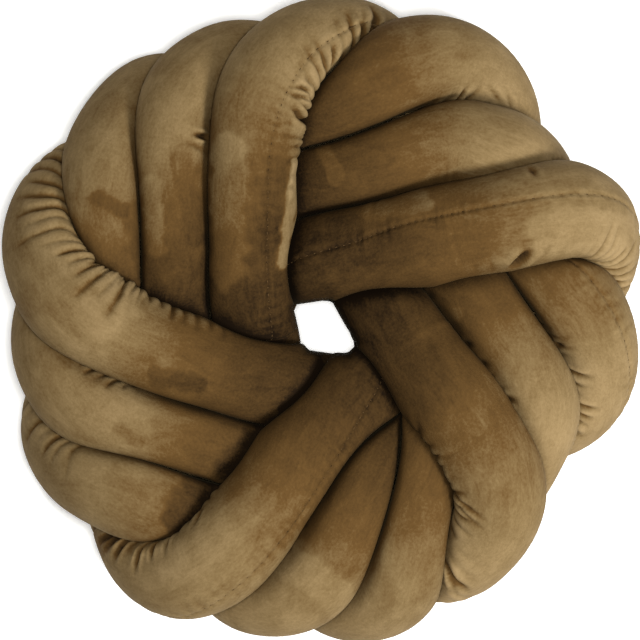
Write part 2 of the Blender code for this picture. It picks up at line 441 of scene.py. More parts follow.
free = np.array([free_reach(i) for i in range(ring_count)])
rest = rings[:, 3:]
print("points pressed by another strand:", int((free < rest).sum()))

# %% [markdown]
# ## The hole in the middle
#
# A strand lies along each side of the hole, and each was pulled tight, so the hole has five nearly straight
# sides. Its corners are named here. A point that would go on into the hole stops at the side that it meets
# first, and the stuffing that it gives up goes to the rest of its ring.

# %% The sides of the hole
HOLE_CORNERS = ((-15.4, 9.1), (11.2, 12.7), (28.4, -18.9), (22.3, -24.7), (-5.7, -21.1))  # mm, like a reach
TINY = 1e-9  # keeps a division from failing


def reach_to_hole():
    """How far each point can go before it is over the hole."""
    enters = np.zeros(free.shape)
    leaves = np.full(free.shape, NEIGHBOUR_REACH)
    corners = np.array(HOLE_CORNERS) * MM + RING_MIDDLE
    for corner, following in zip(corners, np.roll(corners, -1, axis=0)):
        inwards = np.array((following[1] - corner[1], corner[0] - following[0]))
        speed = outward[..., :2] @ inwards
        speed = np.where(np.abs(speed) > TINY, speed, -TINY)
        meets = ((corner - rings[:, :2]) @ inwards)[:, None] / speed
        enters = np.where(speed > 0, np.maximum(enters, meets), enters)
        leaves = np.where(speed > 0, leaves, np.minimum(leaves, meets))
    return np.where(enters < leaves, enters, NEIGHBOUR_REACH)


to_hole = reach_to_hole()
print("points stopped at the hole:", int((to_hole < rest).sum()))
free = np.maximum(np.minimum(free, to_hole), SMALLEST_REACH)

# %% The filled rings
weights = np.gradient(across)
weights /= weights.sum()
full = rest.copy()
for _ in range(FILLING_ROUNDS):
    reach = (full**-PRESS_SHARPNESS + free**-PRESS_SHARPNESS) ** (-1 / PRESS_SHARPNESS)
    filled = (reach**2 * weights).sum(axis=1, keepdims=True)
    full = blurred(np.clip(full * rest / np.sqrt(filled), rest, MOST_SWELL * rest), FILL_BLUR)
print("pressed points:", round(100 * float((reach < 0.97 * full).mean())), "% of the cloth")

# %% [markdown]
# ## Gathers on the inside of each bend
#
# Velvet doesn't shrink. On the inside of a bend the cloth has less way to go than it is long, so it gathers
# into small folds across the tube. Their depth follows from their spacing and from the cloth to spare, so
# they come by themselves where the tube bends most. Soft noise makes them wander, join and skip a place.
# Creases are sharp, and the cloth between them is round.
#
# A hand spreads the cloth unevenly as it ties the knot, so some strands took up more of it than others.

# %% Soft noise
NOISE_CELLS = 64


def smooth_step(share):
    return share * share * (3 - 2 * share)


def soft_noise(coordinates, seed):
    """Smooth noise from -1 to 1, with bumps about one unit across."""
    values = np.random.default_rng(seed).uniform(-1, 1, (NOISE_CELLS,) * 3)
    low = np.floor(coordinates).astype(int)
    share = smooth_step(coordinates - low)
    total = np.zeros(coordinates.shape[:-1])
    for corner in np.ndindex(2, 2, 2):
        weight = np.prod(np.where(corner, share, 1 - share), axis=-1)
        total += weight * values[tuple(np.moveaxis((low + corner) % NOISE_CELLS, -1, 0))]
    return total


def cloth_noise(along_size, round_size, seed):
    """Soft noise laid on the cloth, with bumps of the given sizes."""
    return soft_noise(np.stack([along_tube / along_size, from_inside / round_size,
                                np.full_like(along_tube, seed + 0.5)], axis=-1), seed)


print("noise from", NOISE_CELLS**3, "numbers")

# %% Where cloth is to spare
MOST_GATHERED = {  # 1 is a strand whose cloth is fully gathered at its bend
    ("left", 1): 1.0, ("top", 1): 0.75, ("bottom", 1): 0.9, ("right", 1): 0.7, ("low_right", 1): 0.55,
    ("left", 3): 0.8, ("low_right", 3): 0.8, ("left", 2): 0.6, ("low_right", 2): 0.5, ("right", 2): 0.1,
}
LEAST_GATHERED = 0.3
GATHERED_BELOW = 0.7
SHARE_BLUR = 20  # rings

bend_sizes = np.maximum(np.linalg.norm(bends, axis=1), TINY)
inner_way = bends / bend_sizes[:, None]
towards_inside = (outward * inner_way[:, None]).sum(axis=2)
inside_turn = np.arctan2((outward * np.cross(forward, inner_way)[:, None]).sum(axis=2), towards_inside)
along_tube = np.repeat(ring_at[:, None], len(across), axis=1)
from_inside = inside_turn * TUBE_RADIUS
spare = bend_sizes[:, None] * rest * towards_inside


def gathered_shares():
    at, shares = [], []
    for leg in leg_order:
        share = MOST_GATHERED.get(leg, LEAST_GATHERED)
        at += [ring_at[nearest(rings, name, *leg)] for name in (*FACE_PLACES, "foot")]
        shares += [share] * len(FACE_PLACES) + [GATHERED_BELOW]
    return blurred(np.interp(ring_at, at, shares)[:, None], SHARE_BLUR)


gathered = gathered_shares()
print("most spare cloth:", round(float(spare.max()), 2))

# %% The gathers
GATHER_START = 0.03  # the share of spare cloth at which gathers begin
GATHER_MOST = 0.30
GATHER_WANDER = 0.42
WANDER_SIZES = (2.3, 1.8)  # of the spacing, along and round the tube
LEAST_CREASE = 0.4  # of a set's depth
CREASE_RANGE = 0.9
BULGE = 0.35  # of a fold's depth stands proud between the creases
GATHER_SETS = (  # the spacing along the middle line, the sharpness, the share of the depth, and the seed
    (11.0 * MM, 0.65, 2.2, 11),
    (24.0 * MM, 0.9, 0.7, 23),
)


def creases(spacing, sharp, seed):
    """Waves along the tube with sharp valleys, and two random numbers from 0 to 1 for each valley."""
    wander = cloth_noise(*(size * spacing for size in WANDER_SIZES), seed)
    phase = along_tube / spacing + GATHER_WANDER * wander
    crease = 1 - np.abs(np.sin(math.pi * phase)) ** sharp
    chance = np.random.default_rng(seed).uniform(0, 1, (2, int(phase.max()) + 3))
    return crease, chance[:, np.clip(np.round(phase).astype(int), 0, None)]


def gathers(spacing, sharp, depth_share, seed):
    """The depth of one set of folds."""
    size = spacing / math.pi * np.sqrt(np.clip(spare - GATHER_START, 0, GATHER_MOST))
    crease, (chance, _) = creases(spacing, sharp, seed)
    return depth_share * gathered * size * (crease * (LEAST_CREASE + CREASE_RANGE * chance) - BULGE)


depth = sum(gathers(*row) for row in GATHER_SETS)
print("deepest gather in mm:", round(float(depth.max()) / MM, 1))

# %% [markdown]
# ## Gathers beside a neighbour
#
# Where a strand climbs over the rim and another presses on its side, the cloth is pushed together as well,
# and there the gathers show best. The tube's bend alone doesn't give them, so each such place has a row:
# where it starts and ends along the neighbour, how far its creases reach, and their depth and spacing.

# %% The table of gathered places
PATCHES = (  # band, strand, start, end, reach, depth and spacing, all in mm, places from the ring's middle
    ("left", 1, (-170, 126), (-132, 36), 30, 5.0, 9.0),
    ("left", 1, (-132, 36), (-75, -2), 10, 3.0, 9.5),
    ("top", 1, (42, 203), (-8, 130), 17, 4.2, 9.0),
    ("top", 1, (-8, 130), (-16, 96), 7, 2.6, 9.0),
    ("bottom", 1, (-155, -146), (-92, -142), 30, 4.2, 12.0),
    ("right", 1, (203, 41), (213, 22), 20, 4.2, 7.0),
    ("right", 1, (150, 44), (120, 36), 9, 2.2, 10.0),
    ("left", 3, (-205, -62), (-180, -86), 16, 3.0, 10.0),
    ("left", 2, (-162, -28), (-140, -44), 9, 3.0, 9.0),
    ("low_right", 1, (92, -182), (102, -200), 14, 4.0, 9.0),
    ("low_right", 1, (72, -90), (100, -130), 9, 2.2, 12.0),
    ("low_right", 3, (170, -20), (178, -84), 12, 1.4, 8.0),
)
print(len(PATCHES), "gathered places")

# %% The creases of a gathered place
PATCH_FADE = 14 * MM
PATCH_SEED = 50
SHARP_PATCH = 0.62
LEAST_DEPTH = 0.35
LEAST_LENGTH = 0.5
LENGTH_POWER = 0.7


def cloth_places(band, strand, *points):
    """Where on the tube points seen from above lie: the distance along it and the turn round it."""
    for x, y in np.array(points) * MM + RING_MIDDLE:
        i, turn = seen_from_above(smooth_cloth, turns, band, strand, x, y)
        yield ring_at[i], turn


def between_turns(turns_here, turn):
    return (turns_here - turn + math.pi) % math.tau - math.pi


def patch_depth(seed, band, strand, start, end, far, deepest, spacing):
    """The depth of one row's creases, which start at its line beside the neighbour."""
    (start, start_turn), (end, end_turn) = sorted(cloth_places(band, strand, start, end))
    share = np.clip((along_tube - start) / (end - start), 0, 1)
    edge = start_turn + share * between_turns(end_turn, start_turn)
    away = np.abs(between_turns(turns, edge)) * full / (far * MM)
    beyond = np.maximum(np.maximum(start - along_tube, along_tube - end), 0)
    crease, (chance, length_chance) = creases(spacing * MM, SHARP_PATCH, seed)
    length = np.clip(1 - away / (LEAST_LENGTH + length_chance), 0, 1) ** LENGTH_POWER
    crease = crease * (LEAST_DEPTH + chance) * length
    return deepest * MM * np.exp(-((beyond / PATCH_FADE) ** 2)) * (crease - BULGE * np.clip(1 - away, 0, 1))


smooth_cloth = rings[:, None, :3] + outward * reach[..., None]
for number, row in enumerate(PATCHES):
    depth += patch_depth(PATCH_SEED + 3 * number, *row)
print("deepest crease in mm:", round(float(depth.max()) / MM, 1))

# %% [markdown]
# ## Single folds
#
# Some creases are each different: the deepest puckers, and the pinches where two strands press on a third.
# Each has a row with its two ends on the face. The first is the deep one, beside the neighbouring strand, and
# the crease fades towards the second.

# %% The table of folds
FOLDS = {  # by strand: deep end, faint end, depth and width, all in mm, ends from the ring's middle
    ("top", 1): (
        ((40, 200), (43, 217), 4.5, 2.2), ((34, 196), (33, 212), 4.0, 2.4), ((13, 182), (14, 198), 3.6, 1.8),
        ((8, 178), (5, 189), 2.6, 2.0), ((5, 174), (0, 185), 1.4, 1.8), ((-3, 164), (-8, 172), 1.4, 1.6),
        ((-4, 159), (-18, 163), 2.6, 1.5), ((-5, 154), (-17, 158), 3.2, 1.6),
        ((-9, 143), (-17, 153), 1.5, 2.4),
    ),
    ("top", 2): (
        ((-76, 128), (-87, 130), 4.5, 1.5), ((-80, 120), (-96, 127), 1.0, 2.0),
    ),
    ("right", 1): (
        ((140, 37), (150, 50), 6.0, 2.6), ((200, 38), (217, 43), 2.2, 1.3), ((202, 34), (222, 37), 3.4, 1.6),
        ((206, 29), (222, 31), 4.6, 1.7), ((209, 25), (221, 25), 5.4, 1.9), ((151, 106), (155, 97), 1.5, 1.4),
    ),
    ("right", 2): (
        ((176, 108), (165, 111), 2.6, 1.6),
    ),
    ("right", 3): (
        ((91, 147), (101, 153), 2.6, 1.6), ((100, 152), (107, 163), 3.6, 1.7),
        ((128, 154), (123, 163), 1.6, 1.5), ((140, 150), (135, 159), 1.4, 1.5),
    ),
    ("bottom", 1): (
        ((-145, -152), (-155, -161), 4.4, 1.8), ((-138, -153), (-151, -166), 4.6, 2.2),
        ((-131, -155), (-144, -174), 4.0, 1.6), ((-122, -160), (-128, -182), 3.4, 1.7),
        ((-112, -157), (-117, -173), 2.4, 1.6), ((-103, -153), (-107, -170), 1.8, 1.6),
        ((-82, -136), (-89, -150), 1.8, 1.6),
    ),
    ("low_right", 1): (
        ((100, -129), (121, -143), 1.7, 1.7), ((102, -136), (119, -150), 1.1, 1.6),
        ((94, -182), (104, -197), 3.6, 1.8), ((98, -184), (112, -195), 1.8, 1.6),
    ),
    ("low_right", 2): (
        ((104, -18), (110, -16), 1.2, 2.4), ((115, -32), (123, -33), 1.2, 2.6),
        ((133, -57), (142, -60), 2.0, 2.6),
    ),
    ("low_right", 3): (
        ((168, -20), (176, -19), 1.8, 2.0), ((175, -36), (197, -43), 4.8, 2.0),
        ((176, -42), (187, -49), 2.8, 1.4), ((179, -58), (203, -66), 3.6, 1.6),
        ((179, -63), (198, -73), 4.2, 1.7), ((179, -69), (193, -78), 3.2, 1.5),
        ((178, -77), (190, -85), 3.0, 1.8),
    ),
}
print(sum(map(len, FOLDS.values())), "single folds")

# %% The shape of a fold
FOLD_STRENGTH = 1.5
CREASE_POWER = 1.4
FOLD_SHOULDER = 0.3  # of the depth stands proud on both sides of the crease
SHOULDER_AT = 2.2  # widths from the crease
DEEPEST_AT = 0.2  # of the crease's length
FADE_IN = 0.45
FADED_AT = 1.15  # the same lengths
FADE_POWER = 1.2


def fold_depth(band, strand, deep_end, faint_end, deepest, width):
    (at, turn), (faint_at, faint_turn) = cloth_places(band, strand, deep_end, faint_end)
    here = np.stack([along_tube - at, between_turns(turns, turn) * full], axis=-1)
    way = np.array((faint_at - at, between_turns(faint_turn, turn) * TUBE_RADIUS))
    length = np.linalg.norm(way)
    share = here @ way / length**2
    aside = np.abs(here @ (way[::-1] * (1, -1))) / length / (width * MM)
    fade = np.where(share < DEEPEST_AT, np.exp(-((share - DEEPEST_AT) / FADE_IN) ** 2),
                    np.clip((FADED_AT - share) / (FADED_AT - DEEPEST_AT), 0, 1) ** FADE_POWER)
    profile = np.exp(-aside**CREASE_POWER) - FOLD_SHOULDER * np.exp(-((aside - SHOULDER_AT) ** 2))
    return FOLD_STRENGTH * deepest * MM * fade * profile


for leg, folds in FOLDS.items():
    for fold in folds:
        depth += fold_depth(*leg, *fold)
print("deepest fold in mm:", round(float(depth.max()) / MM, 1))

# %% [markdown]
# ## The seam's furrow
#
# From outside, a seam that was sewn inside out and turned is a narrow furrow. Every stitch draws the cloth in
# a little, and the stuffing lifts it between the stitches, so the furrow has small, even dimples and the
# cloth beside it has short, uneven puckers.

# %% The furrow and its puckers
STITCH_SPACING = 4.3 * MM
FURROW_DEPTH = 1.5 * MM
FURROW_HALF_WIDTH = 1.4 * MM
DRAWN_IN = 0.8  # of the depth, and the dimples are added to it
DIMPLES = 0.4
PUCKER_REACH = 11 * MM
PUCKER_DEPTH = 0.7 * MM
PUCKER_SPACING = 7.5 * MM
PUCKER_WANDER = 0.6
PUCKER_SIZES = (0.55, 1.4)  # the middle one and the largest, of the depth

from_seam = (across - np.round(across))[None] * math.tau * rest
drawn_in = DRAWN_IN + DIMPLES * np.cos(math.tau * (along_tube - END_TAPER) / STITCH_SPACING)
furrow = FURROW_DEPTH * drawn_in * np.exp(-((from_seam / FURROW_HALF_WIDTH) ** 2))
pucker_phase = along_tube / PUCKER_SPACING + PUCKER_WANDER * cloth_noise(14 * MM, 9 * MM, 31)
pucker_size = np.clip(PUCKER_SIZES[0] + cloth_noise(22 * MM, 40 * MM, 32), 0, PUCKER_SIZES[1])
puckers = PUCKER_DEPTH * pucker_size * np.exp(-((from_seam / PUCKER_REACH) ** 2))
puckers = puckers * (1 - np.abs(np.sin(math.pi * pucker_phase)))
depth = depth + furrow + puckers
print("seam furrow and puckers added")

# %% [markdown]
# ## Painted shade at the feet
#
# Near its foot each strand dives under the next band and lies in its shade. That shade is painted into the
# colour: dark and warm at the foot, fading further up. How far up it goes differs, so each strand has a
# number.
# The mesh carries the result as an attribute of its points, and the material reads it.

# %% How much painted shade lies near each foot
FOOT_SHADE_BEFORE = {  # in millimetres before the foot, for strands 1 to 3
    "right": (225, 165, 165), "low_right": (235, 150, 140), "bottom": (185, 150, 185),
    "left": (145, 110, 100), "top": (175, 125, 95),
}
FOOT_SHADE_AFTER = 60 * MM
FOOT_SHADE_CURVE = 1.4


def painted_foot_shade():
    share = np.zeros(ring_count)
    for band, strand in leg_order:
        past = ring_at - fine_along[nearest(fine, "foot", band, strand)]
        before = np.clip(-past / (FOOT_SHADE_BEFORE[band][strand - 1] * MM), 0, 1)
        share = np.maximum(share, 1 - before**FOOT_SHADE_CURVE - np.clip(past / FOOT_SHADE_AFTER, 0, 1))
    return share


foot_shade_and_strokes = np.repeat(painted_foot_shade()[:, None], len(across), axis=1)
print("brushed back:", round(100 * float((foot_shade_and_strokes > 0.5).mean())), "% of the tube")

# %% [markdown]
# ## Where a hand passed over it
#
# Single strokes of a hand show on the face as patches with ragged edges: darker where it went against the
# pile, and paler where it went with it. Noise could scatter such patches, but the eye notices the largest of
# them, so each of those has a row: the line that the hand followed, half the width of the patch, and how much
# of the pile it turned back.

# %% The table of strokes
# The patches add to the number of the painted foot shade. The row for strand 3 of the left band is painted
# shade itself.
HAND_STROKES = (  # band, strand, start, end and half width in mm, and how much of the pile is turned back
    ("top", 1, (-13, 108), (-23, 39), 4, -0.7),
    ("top", 1, (-28, 108), (-32, 50), 8, 0.15),
    ("top", 1, (-60, 118), (-62, 34), 13, -0.3),
    ("top", 2, (-93, 115), (-84, 57), 8, 0.2),
    ("top", 2, (-116, 92), (-113, 51), 8, -0.25),
    ("top", 3, (-152, 85), (-136, 76), 6, 0.3),
    ("top", 3, (-126, 72), (-122, 50), 9, 0.15),
    ("right", 1, (38, 75), (74, 81), 8, -0.3),
    ("right", 1, (20, 45), (120, 58), 13, 0.12),
    ("right", 1, (162, 62), (198, 62), 16, -0.2),
    ("right", 2, (6, 118), (14, 100), 6, -0.3),
    ("left", 1, (-112, -40), (-82, -46), 6, 0.3),
    ("left", 1, (-153, 5), (-107, -18), 14, -0.1),
    ("left", 1, (-16, -66), (8, -38), 11, 0.2),
    ("left", 2, (-137, -77), (-124, -87), 4, 0.15),
    ("left", 2, (-60, -106), (-34, -80), 11, 0.25),
    # painted shade: the dark end of this strand, beside the next band
    ("left", 3, (-96, -138), (-74, -112), 13, 0.4),
    ("bottom", 1, (-150, -158), (-118, -157), 9, 0.25),
    ("bottom", 1, (-94, -175), (-40, -130), 12, -0.12),
    ("bottom", 2, (-24, -166), (16, -196), 13, -0.2),
    ("low_right", 1, (26, 5), (67, -48), 28, 0.15),
    ("low_right", 2, (85, 8), (96, 2), 6, -0.25),
)
print(len(HAND_STROKES), "strokes of the hand")

# %% The strokes on the pile
STROKE_SEED = 100
RAGGED_SIZE = 7 * MM
RAGGED = 0.4  # of the half width
STROKE_EDGE = 0.5  # of the half width is the edge's own softness


def add_hand_stroke(seed, band, strand, start, end, half_width, turned_back):
    part = slice(*face_rings(band, strand))
    start, end = np.array((start, end)) * MM + RING_MIDDLE
    way = end - start
    here = smooth_cloth[part, :, :2] - start
    share = np.clip(here @ way / (way @ way), 0, 1)
    away = np.linalg.norm(here - share[..., None] * way, axis=-1) / (half_width * MM)
    away = away + RAGGED * soft_noise(smooth_cloth[part] / RAGGED_SIZE, seed)
    foot_shade_and_strokes[part] += turned_back * smooth_step(np.clip((1 - away) / STROKE_EDGE + 0.5, 0, 1))


for number, row in enumerate(HAND_STROKES):
    add_hand_stroke(STROKE_SEED + number, *row)
print("brushed from", round(float(foot_shade_and_strokes.min()), 2), "to", round(float(foot_shade_and_strokes.max()), 2))

# %% [markdown]
# ## Painted shade in creases and between strands
#
# A crease is given painted shade: the deeper it is, the darker its colour, and the round cloth pushed up
# beside it is painted a little paler, a painted highlight. Painted shade also darkens the cloth where two
# strands touch. The depth of each crease and the nearness of the next strand are a second attribute.

# %% How much painted shade each point gets
DARK_DEPTH = 2.6 * MM
PALEST_HIGHLIGHT = -0.3
FURROW_SHARE = 0.2  # the seam's furrow gets only this share of the painted crease shade
TOUCH_FADE = 2.5 * MM
TOUCH_SHADE = 0.5

# Painted shade from each crease's depth, a painted highlight on the cloth pushed up beside it, and painted
# shade near the next strand
crease_and_touch_shade = np.clip((depth - (1 - FURROW_SHARE) * furrow) / DARK_DEPTH, PALEST_HIGHLIGHT, 1)
crease_and_touch_shade = crease_and_touch_shade + TOUCH_SHADE * np.exp(-np.maximum(free - reach, 0) / TOUCH_FADE)
print("sunk points:", round(100 * float((crease_and_touch_shade > 0.4).mean())), "% of the cloth")

# %% The cloth's points
UNEVEN_FILL = 0.7 * MM
UNEVEN_SPACING = 34 * MM
UNEVEN_SEED = 41
REST_ROUNDING = 3 * MM


def rested(heights_above):
    """What would reach below the surface lies flat on it, through a small rounding."""
    rounding = REST_ROUNDING * ((1 + np.clip(heights_above / REST_ROUNDING, -1, 1)) / 2) ** 2
    return np.where(heights_above > REST_ROUNDING, heights_above, rounding)


lumps = UNEVEN_FILL * soft_noise(smooth_cloth / UNEVEN_SPACING, UNEVEN_SEED)
final_reach = np.minimum(reach + lumps - depth, free)
cloth = rings[:, None, :3] + outward * final_reach[..., None]
cloth[..., 2] = rested(cloth[..., 2] + REST_DEPTH)
cloth[:, -1] = cloth[:, 0]
print("cloth box in mm:", *((corner / MM).round(1) for corner in (cloth.min((0, 1)), cloth.max((0, 1)))))

# %% [markdown]
# ## From strip to tube
#
# `create_grid` is the strip as it lies on the cutting table, and each of its points knows its place along and
# across. It is rolled by moving those points, and its long edges are sewn by merging them. The UV map is in
# metres of cloth, so every pattern follows the cloth and has its real size.
#
# One mesh of the whole tube would be too heavy, so it is made in five lengths. They meet at feet of strands,
# deep between the layers.

# %% The lengths of tube
LENGTHS = 5
LEGS_A_LENGTH = len(STRANDS) // LENGTHS
JOIN_GAP = 0.3 * MM
SEWN_WITHIN = 0.001 * MM


def mesh_points(mesh):
    points = np.empty(len(mesh.vertices) * 3)
    mesh.vertices.foreach_get("co", points)
    return points.reshape(-1, 3)


def strip_mesh(name, first, last):
    """The strip between two rings, rolled, sewn and closed at both ends."""
    bm = bmesh.new()
    bmesh.ops.create_grid(bm, x_segments=last - first, y_segments=len(across) - 1, size=0.5)
    mesh = bpy.data.meshes.new(name)
    bm.to_mesh(mesh)
    bm.free()
    flat = mesh_points(mesh) + 0.5
    i = first + np.round(flat[:, 0] * (last - first)).astype(int)
    j = np.round(flat[:, 1] * (len(across) - 1)).astype(int)
    corner = np.empty(len(mesh.loops), dtype=np.int32)
    mesh.loops.foreach_get("vertex_index", corner)
    uv = np.stack([ring_at[i], across[j] * math.tau * TUBE_RADIUS], axis=1)[corner]
    mesh.uv_layers.new(name="cloth").data.foreach_set("uv", uv.astype(np.float32).ravel())
    # The two attributes carry painted shade: at the feet, with the hand's strokes, and in creases and where
    # strands touch
    for attribute, values in (("foot_shade_and_strokes", foot_shade_and_strokes[i, j]), ("crease_and_touch_shade", crease_and_touch_shade[i, j])):
        mesh.attributes.new(attribute, "FLOAT", "POINT").data.foreach_set("value", values.astype(np.float32))
    points = cloth[i, j]
    points[i == last] -= forward[last] * JOIN_GAP
    mesh.vertices.foreach_set("co", points.ravel())
    bm = bmesh.new()
    bm.from_mesh(mesh)
    open_verts = [v for v in bm.verts if v.is_boundary]
    bmesh.ops.remove_doubles(bm, verts=open_verts, dist=SEWN_WITHIN)
    caps = bmesh.ops.holes_fill(bm, edges=[e for e in bm.edges if e.is_boundary], sides=0)["faces"]
    bmesh.ops.triangulate(bm, faces=caps)
    bmesh.ops.recalc_face_normals(bm, faces=bm.faces)
    bm.to_mesh(mesh)
    bm.free()
    mesh.shade_smooth()
    return mesh


def add_object(data):
    """Puts a mesh, a light or a camera in the scene, under its own name."""
    added = bpy.data.objects.new(data.name, data)
    bpy.context.scene.collection.objects.link(added)
    return added


length_ends = [nearest(rings, "foot", *leg) for leg in leg_order[LEGS_A_LENGTH - 1:-1:LEGS_A_LENGTH]]
length_ends = [0, *length_ends, ring_count - 1]
tubes = []
for number, (first, last) in enumerate(zip(length_ends, length_ends[1:]), 1):
    tubes.append(add_object(strip_mesh(f"velvet_tube_{number}", first, last)))
    print(tubes[-1].name, len(tubes[-1].data.polygons), "faces")

# %% [markdown]
# ## The stitches
#
# The thread lies at the bottom of the furrow. Each stitch is a short bar that dives into the cloth at both
# ends. Where the seam is pressed against the next strand or runs through a deep fold, the cloth closes over
# the thread, and those stitches are left out. There are still over a thousand, so each has very few faces,
# and they are made by doubling: one bar is copied beside itself, then both, then all four.

# %% Thread in the furrow
THREAD_WIDTH = 1.1 * MM
STITCH_LENGTH = 1.7 * MM
STITCH_SINK = 0.1 * MM
CLOSED_GAP = 1.5 * MM  # from the next strand
CLOSED_DEPTH = 2.5 * MM  # of a fold


def bars(count):
    """A mesh of the given number of round bars of unit size, one after another, all in the same place."""
    mesh = bpy.data.meshes.new("seam_stitches")
    bm = bmesh.new()
    bmesh.ops.create_uvsphere(bm, u_segments=6, v_segments=4, radius=1.0)
    points_each = len(bm.verts)
    bm.to_mesh(mesh)
    made = 1
    while made < count:
        bm.from_mesh(mesh)
        made *= 2
        bm.to_mesh(mesh)
    bm.verts.ensure_lookup_table()
    bmesh.ops.delete(bm, geom=bm.verts[count * points_each:], context="VERTS")
    bmesh.ops.recalc_face_normals(bm, faces=bm.faces)
    bm.to_mesh(mesh)
    bm.free()
    print(count, "stitches of", len(mesh.polygons) // count, "faces")
    return mesh


def stitches():
    at = np.arange(END_TAPER, tube_length - END_TAPER, STITCH_SPACING)
    room = np.interp(at, ring_at, free[:, 0] - final_reach[:, 0])
    fold = np.interp(at, ring_at, depth[:, 0] - furrow[:, 0])
    at = at[(room > CLOSED_GAP) & (fold < CLOSED_DEPTH)]
    middle = sampled(cloth[:, 0], ring_at, at)
    way = unit(sampled(cloth[:, 0], ring_at, at + STITCH_SPACING / 2) - middle)
    out = sampled(outward[:, 0], ring_at, at)
    out = unit(out - way * (out * way).sum(axis=1, keepdims=True))
    mesh = bars(len(at))
    bar = mesh_points(mesh).reshape(len(at), -1, 3)
    sizes = (THREAD_WIDTH / 2, THREAD_WIDTH / 2, STITCH_LENGTH / 2)
    points = (middle - out * STITCH_SINK)[:, None]
    for size, direction, column in zip(sizes, (np.cross(way, out), out, way), range(3)):
        points = points + bar[..., column, None] * size * direction[:, None]
    points[..., 2] = np.maximum(points[..., 2], 0)
    mesh.vertices.foreach_set("co", points.ravel())
    mesh.shade_smooth()
    return add_object(mesh)


thread = stitches()

# %% [markdown]
# ## The velvet
#
# The cloth is a short-pile polyester velvet in olive brown. One number, from 0 for dark to 1 for pale, goes
# through a ramp of four browns. Painted light and shade change that number: the whole cushion is paler
# towards one side and darker towards the other, as if lit from there, and painted shade darkens the feet of
# the strands, the creases and the places where two strands touch. The cloth's own tone changes it too: the
# marks that fingers leave, the patches of the hand's strokes, the fine strokes along the cloth and the grain
# of the tufts.
# At grazing angles the tips of the pile catch a little light, which is the sheen.

# %% Colours, materials and nodes
def linear(hex_colour):
    channels = [int(hex_colour[k:k + 2], 16) / 255 for k in (0, 2, 4)]
    return (*[c / 12.92 if c <= 0.04045 else ((c + 0.055) / 1.055) ** 2.4 for c in channels], 1.0)


def new_material(name, **sockets):
    """A material, its node tree and its shader, with the shader's own sockets set."""
    material = bpy.data.materials.new(name)
    material.use_nodes = True
    shader = material.node_tree.nodes["Principled BSDF"]
    for socket, value in sockets.items():
        shader.inputs[socket.replace("_", " ")].default_value = value
    return material, material.node_tree, shader


def add_node(tree, kind, settings=None, stops=(), **links):
    """Adds a node. A link is a socket's value, or another node's output. Stops are a ramp's colours."""
    node = tree.nodes.new(kind)
    for name, value in (settings or {}).items():
        setattr(node, name, value)
    for position, _ in stops[1:-1]:
        node.color_ramp.elements.new(position)
    for number, (position, colour) in enumerate(stops):
        element = node.color_ramp.elements[number]
        element.position, element.color = position, linear(colour)
    for name, value in links.items():
        key = int(name[1:]) if name[0] == "i" and name[1:].isdigit() else name.replace("_", " ")
        if isinstance(value, bpy.types.NodeSocket):
            tree.links.new(value, node.inputs[key])
        else:
            node.inputs[key].default_value = value
    return node


print("middle grey is", round(linear("808080")[0], 3))

# %% The velvet's colours and sizes
VELVET_BROWNS = ((0.0, "170E05"), (0.44, "4B361A"), (0.64, "625033"), (0.96, "7E6A4A"))
MARK_SIZE = 26 * MM
STROKE_SIZE = 8 * MM
GRAIN_SIZE = 1.8 * MM  # the pile's own tufts are finer: this is as fine as shows
STROKE_STRETCH = (0.4, 1.0, 1.0)  # strokes are longer along the cloth than across it
PAINTED_LIGHT_SIDE = (0.97, -0.26)  # painted light: paler towards this side of the cushion and darker away from it
PAINTED_LIGHT_STRENGTH = 0.45
PLAIN = 0.39
SHADE_AND_STROKES_DARKER = -0.60
CREASE_SHADE_DARKER = -0.42
STROKES = 0.32
GRAIN = 0.32
MARKS = 0.05
MARKS_WITH_FOOT_SHADE = -0.03
MARKS_BETWEEN = (0.36, 0.66)
TIMES_PLUS = {"operation": "MULTIPLY_ADD"}
STROKE_BUMPS = 0.8  # beside a grain of 1
BUMP_STRENGTH = 0.35
BUMP_HEIGHT = 0.6 * MM
print(len(VELVET_BROWNS), "browns")


